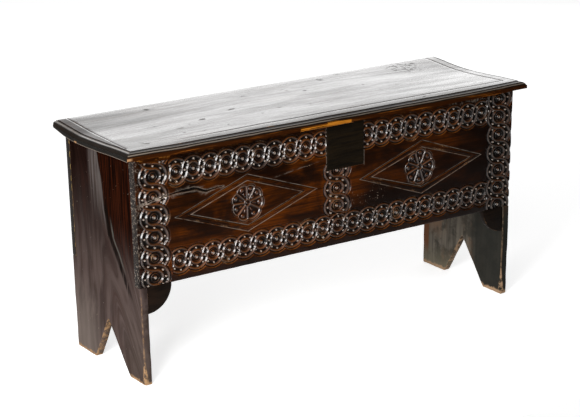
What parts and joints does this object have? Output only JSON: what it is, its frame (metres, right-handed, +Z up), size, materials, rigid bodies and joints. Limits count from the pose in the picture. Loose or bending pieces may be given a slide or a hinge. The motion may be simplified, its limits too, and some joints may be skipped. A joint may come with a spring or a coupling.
{
  "type": "six-plank coffer",
  "caption": "Long low boarded oak coffer with V-cut plank feet, a moulded lid on wire loops and a front carved with guilloche bands, lozenges and rosettes.",
  "frame": {"origin": "on the floor, under the middle of the lid", "axes": "+Z up; the carved front faces -Y; +X to the right of someone who faces the front; +Y towards the back, where the lid is hinged"},
  "size_m": [1.05, 0.33, 0.513],
  "materials": {
    "lid_oak": "old dark oak, waxed and polished by use, glossy",
    "front_oak": "old dark oak with a warm red-brown ground, waxed, rubbed on the carving",
    "back_oak": "old dark oak, dry",
    "end_oak": "old dark oak with a grey-purple cast, satin",
    "bottom_oak": "dry unpolished oak",
    "bracket_oak": "old dark oak, satin",
    "patch_oak": "dark stained oak, sawn face",
    "slip_oak": "paler orange-brown oak, worn",
    "iron": "hand-forged iron, dark and slightly rusted"
  },
  "bodies": {
    "carcase": {"front_board": "front_oak", "back_board": "back_oak", "left_end_board": "end_oak", "right_end_board": "end_oak", "bottom_board": "bottom_oak", "left_front_bracket": "bracket_oak", "right_front_bracket": "bracket_oak", "lock_patch": "patch_oak", "rim_slip": "slip_oak", "left_back_loop": "iron", "right_back_loop": "iron", "front_board_nails": "iron", "back_board_nails": "iron", "bottom_front_nails": "iron", "bottom_back_nails": "iron", "left_bracket_nails": "iron", "right_bracket_nails": "iron"},
    "lid": {"lid_board": "lid_oak", "left_lid_loop": "iron", "right_lid_loop": "iron"}
  },
  "joints": [
    {"name": "lid_hinge", "type": "hinge", "parent": "carcase", "child": "lid", "pos_m": [0, 0.1547, 0.4848], "axis": [-1, 0, 0], "range_deg": [0, 110]}
  ]
}
